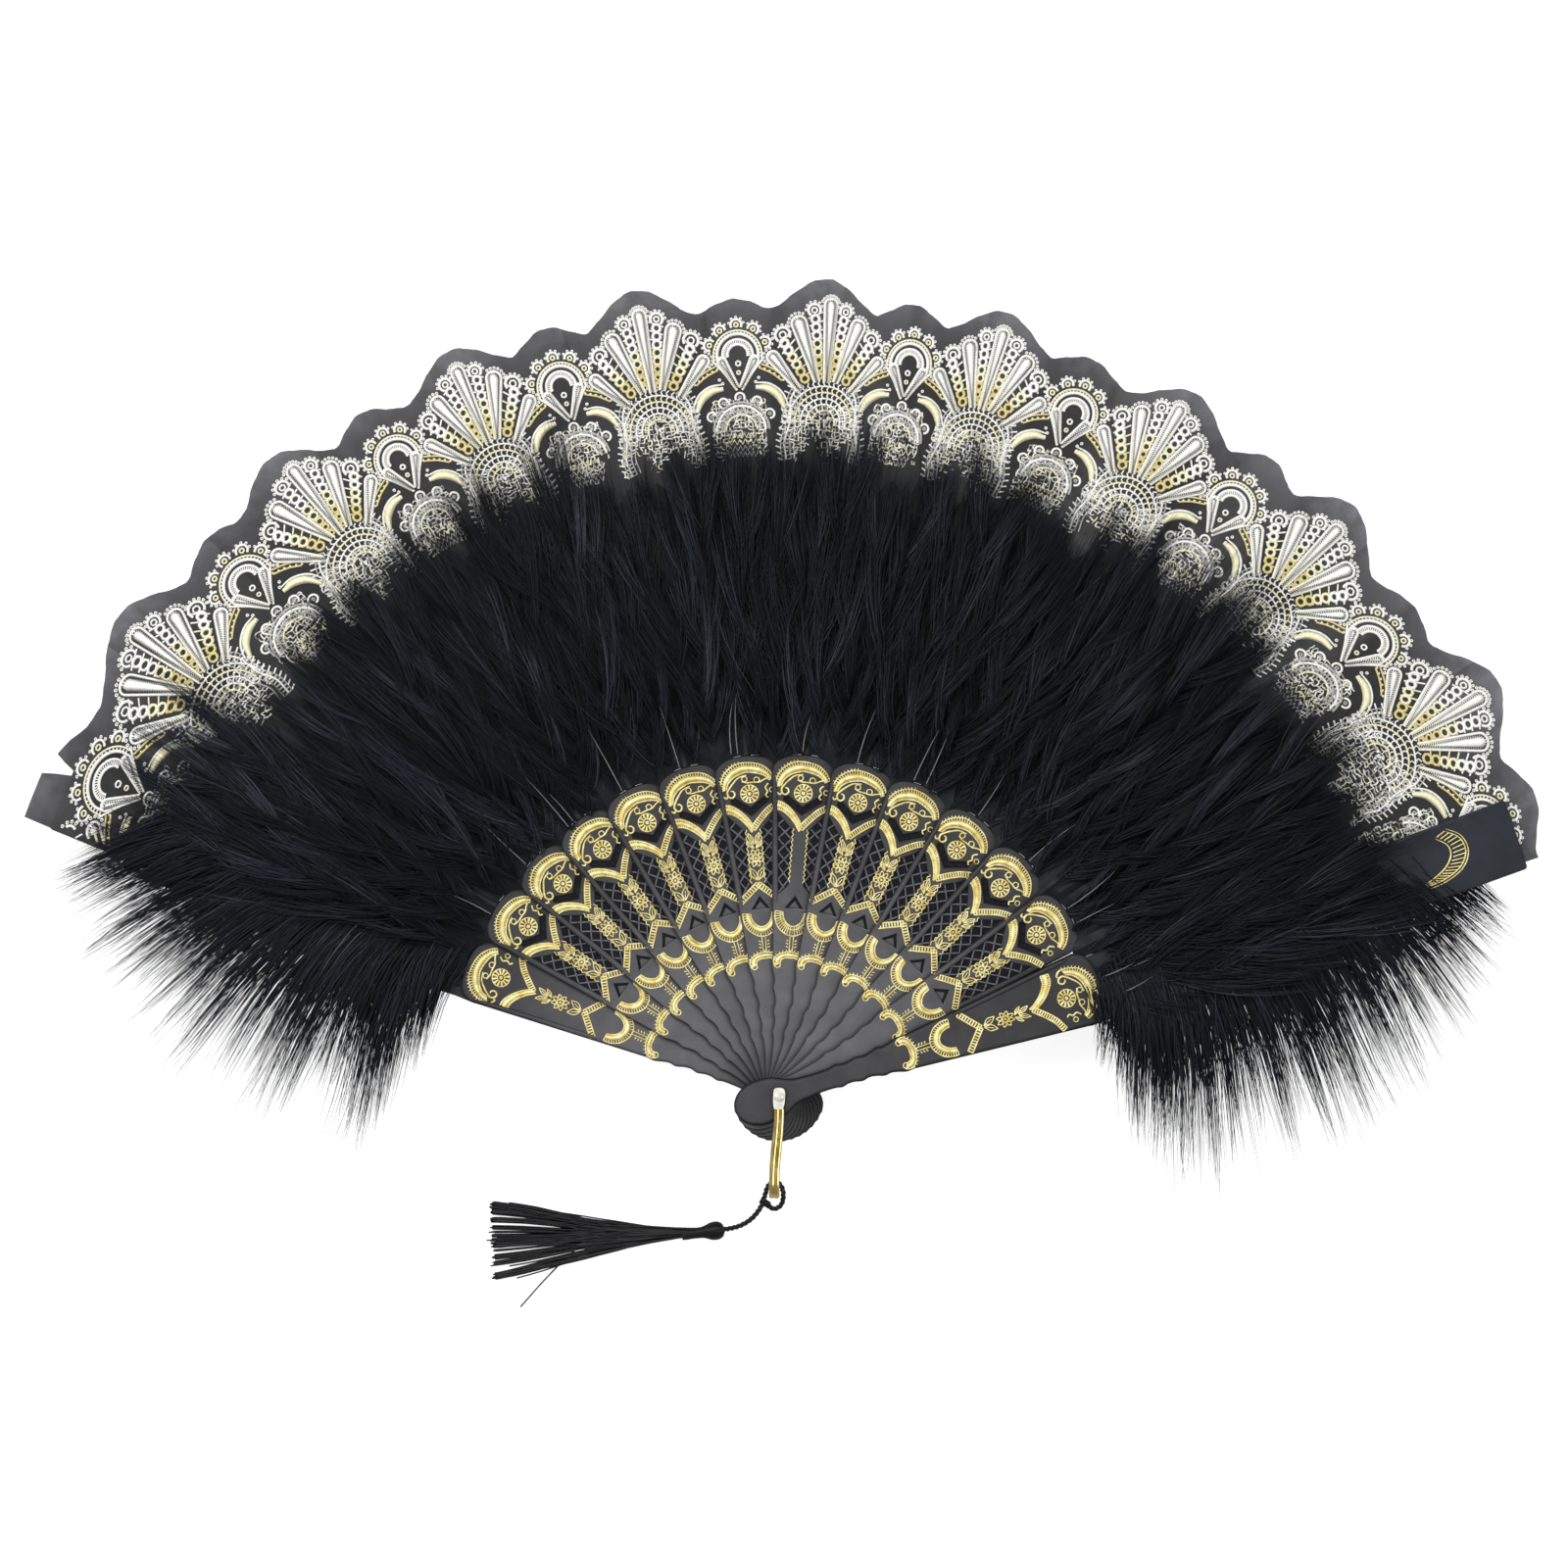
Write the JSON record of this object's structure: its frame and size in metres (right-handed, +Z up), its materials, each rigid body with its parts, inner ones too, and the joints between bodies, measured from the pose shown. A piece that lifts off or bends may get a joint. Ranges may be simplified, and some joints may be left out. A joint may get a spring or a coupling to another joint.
{
  "type": "feather fan",
  "caption": "Folding hand fan lying open: relief sticks on a pivot pin, pleated sheer leaf with a lace border, down feathers over the leaf, wire bail and tassel.",
  "frame": {"origin": "middle of the flat underside of the rivet cap at the pivot, on the table", "axes": "+Z up along the pivot pin, +X towards the front guard's side, +Y from the pivot to the middle of the leaf"},
  "size_m": [0.436, 0.2869, 0.037],
  "materials": {
    "black_plastic": "injection-moulded black plastic with a soft gloss and gold hot-foil print",
    "organza": "sheer black organza",
    "lace_thread": "machine-embroidered ivory thread with metallic gold thread",
    "feather": "black down feathers with a navy tint",
    "gilt_wire": "bright gilt metal",
    "silver_pin": "bright plated metal",
    "tassel_silk": "black rayon thread with a soft sheen"
  },
  "bodies": {
    "back_guard": {"back_guard": "black_plastic", "leaf_panel_1": "organza", "lace_panel_1": "lace_thread", "feather_clump_1": "feather", "pivot_pin": "silver_pin", "rivet_cap": "silver_pin"},
    "stick_1": {"stick_1": "black_plastic", "leaf_panel_2": "organza", "lace_panel_2": "lace_thread", "feather_clump_2": "feather"},
    "stick_2": {"stick_2": "black_plastic", "leaf_panel_3": "organza", "lace_panel_3": "lace_thread", "feather_clump_3": "feather"},
    "stick_3": {"stick_3": "black_plastic", "leaf_panel_4": "organza", "lace_panel_4": "lace_thread", "feather_clump_4": "feather"},
    "stick_4": {"stick_4": "black_plastic", "leaf_panel_5": "organza", "lace_panel_5": "lace_thread", "feather_clump_5": "feather"},
    "stick_5": {"stick_5": "black_plastic", "leaf_panel_6": "organza", "lace_panel_6": "lace_thread", "feather_clump_6": "feather"},
    "stick_6": {"stick_6": "black_plastic", "leaf_panel_7": "organza", "lace_panel_7": "lace_thread", "feather_clump_7": "feather"},
    "stick_7": {"stick_7": "black_plastic", "leaf_panel_8": "organza", "lace_panel_8": "lace_thread", "feather_clump_8": "feather"},
    "stick_8": {"stick_8": "black_plastic", "leaf_panel_9": "organza", "lace_panel_9": "lace_thread", "feather_clump_9": "feather"},
    "stick_9": {"stick_9": "black_plastic", "leaf_panel_10": "organza", "lace_panel_10": "lace_thread", "feather_clump_10": "feather"},
    "stick_10": {"stick_10": "black_plastic", "leaf_panel_11": "organza", "lace_panel_11": "lace_thread", "feather_clump_11": "feather"},
    "stick_11": {"stick_11": "black_plastic", "leaf_panel_12": "organza", "lace_panel_12": "lace_thread", "feather_clump_12": "feather"},
    "stick_12": {"stick_12": "black_plastic", "leaf_panel_13": "organza", "lace_panel_13": "lace_thread", "feather_clump_13": "feather"},
    "front_guard": {"front_guard": "black_plastic", "feather_clump_14": "feather"},
    "bail": {"bail": "gilt_wire"},
    "tassel": {"tassel_cord": "tassel_silk", "tassel_head": "tassel_silk", "tassel_skirt": "tassel_silk"}
  },
  "joints": [
    {"name": "fold_1", "type": "hinge", "parent": "back_guard", "child": "stick_1", "pos_m": [0, 0, 0], "axis": [0, 0, 1], "range_deg": [0, 11.1], "deforming": ["feather_clump_1"]},
    {"name": "fold_2", "type": "hinge", "parent": "stick_1", "child": "stick_2", "pos_m": [0, 0, 0], "axis": [0, 0, 1], "range_deg": [0, 10.5], "deforming": ["feather_clump_2"]},
    {"name": "fold_3", "type": "hinge", "parent": "stick_2", "child": "stick_3", "pos_m": [0, 0, 0], "axis": [0, 0, 1], "range_deg": [0, 10], "deforming": ["feather_clump_3"]},
    {"name": "fold_4", "type": "hinge", "parent": "stick_3", "child": "stick_4", "pos_m": [0, 0, 0], "axis": [0, 0, 1], "range_deg": [0, 9.9], "deforming": ["feather_clump_4"]},
    {"name": "fold_5", "type": "hinge", "parent": "stick_4", "child": "stick_5", "pos_m": [0, 0, 0], "axis": [0, 0, 1], "range_deg": [0, 10], "deforming": ["feather_clump_5"]},
    {"name": "fold_6", "type": "hinge", "parent": "stick_5", "child": "stick_6", "pos_m": [0, 0, 0], "axis": [0, 0, 1], "range_deg": [0, 10.3], "deforming": ["feather_clump_6"]},
    {"name": "fold_7", "type": "hinge", "parent": "stick_6", "child": "stick_7", "pos_m": [0, 0, 0], "axis": [0, 0, 1], "range_deg": [0, 10.2], "deforming": ["feather_clump_7"]},
    {"name": "fold_8", "type": "hinge", "parent": "stick_7", "child": "stick_8", "pos_m": [0, 0, 0], "axis": [0, 0, 1], "range_deg": [0, 10.5], "deforming": ["feather_clump_8"]},
    {"name": "fold_9", "type": "hinge", "parent": "stick_8", "child": "stick_9", "pos_m": [0, 0, 0], "axis": [0, 0, 1], "range_deg": [0, 10.3], "deforming": ["feather_clump_9"]},
    {"name": "fold_10", "type": "hinge", "parent": "stick_9", "child": "stick_10", "pos_m": [0, 0, 0], "axis": [0, 0, 1], "range_deg": [0, 10.5], "deforming": ["feather_clump_10"]},
    {"name": "fold_11", "type": "hinge", "parent": "stick_10", "child": "stick_11", "pos_m": [0, 0, 0], "axis": [0, 0, 1], "range_deg": [0, 10.9], "deforming": ["feather_clump_11"]},
    {"name": "fold_12", "type": "hinge", "parent": "stick_11", "child": "stick_12", "pos_m": [0, 0, 0], "axis": [0, 0, 1], "range_deg": [0, 11.2], "deforming": ["feather_clump_12"]},
    {"name": "fold_13", "type": "hinge", "parent": "stick_12", "child": "front_guard", "pos_m": [0, 0, 0], "axis": [0, 0, 1], "range_deg": [0, 13.2], "deforming": ["feather_clump_13", "feather_clump_14"]},
    {"name": "bail_swing", "type": "hinge", "parent": "back_guard", "child": "bail", "pos_m": [0, 0, 0], "axis": [0, 0, 1], "range_deg": [-15, 75]},
    {"name": "tassel_swing", "type": "hinge", "parent": "bail", "child": "tassel", "pos_m": [-0.0014, -0.02857, 0], "axis": [0, 0, 1], "range_deg": [-15, 110]}
  ],
  "couplings": [
    {"joint": "fold_2", "follows": "fold_1", "ratio": 0.94595},
    {"joint": "fold_3", "follows": "fold_1", "ratio": 0.9009},
    {"joint": "fold_4", "follows": "fold_1", "ratio": 0.89189},
    {"joint": "fold_5", "follows": "fold_1", "ratio": 0.9009},
    {"joint": "fold_6", "follows": "fold_1", "ratio": 0.92793},
    {"joint": "fold_7", "follows": "fold_1", "ratio": 0.91892},
    {"joint": "fold_8", "follows": "fold_1", "ratio": 0.94595},
    {"joint": "fold_9", "follows": "fold_1", "ratio": 0.92793},
    {"joint": "fold_10", "follows": "fold_1", "ratio": 0.94595},
    {"joint": "fold_11", "follows": "fold_1", "ratio": 0.98198},
    {"joint": "fold_12", "follows": "fold_1", "ratio": 1.009},
    {"joint": "fold_13", "follows": "fold_1", "ratio": 1.1892}
  ]
}
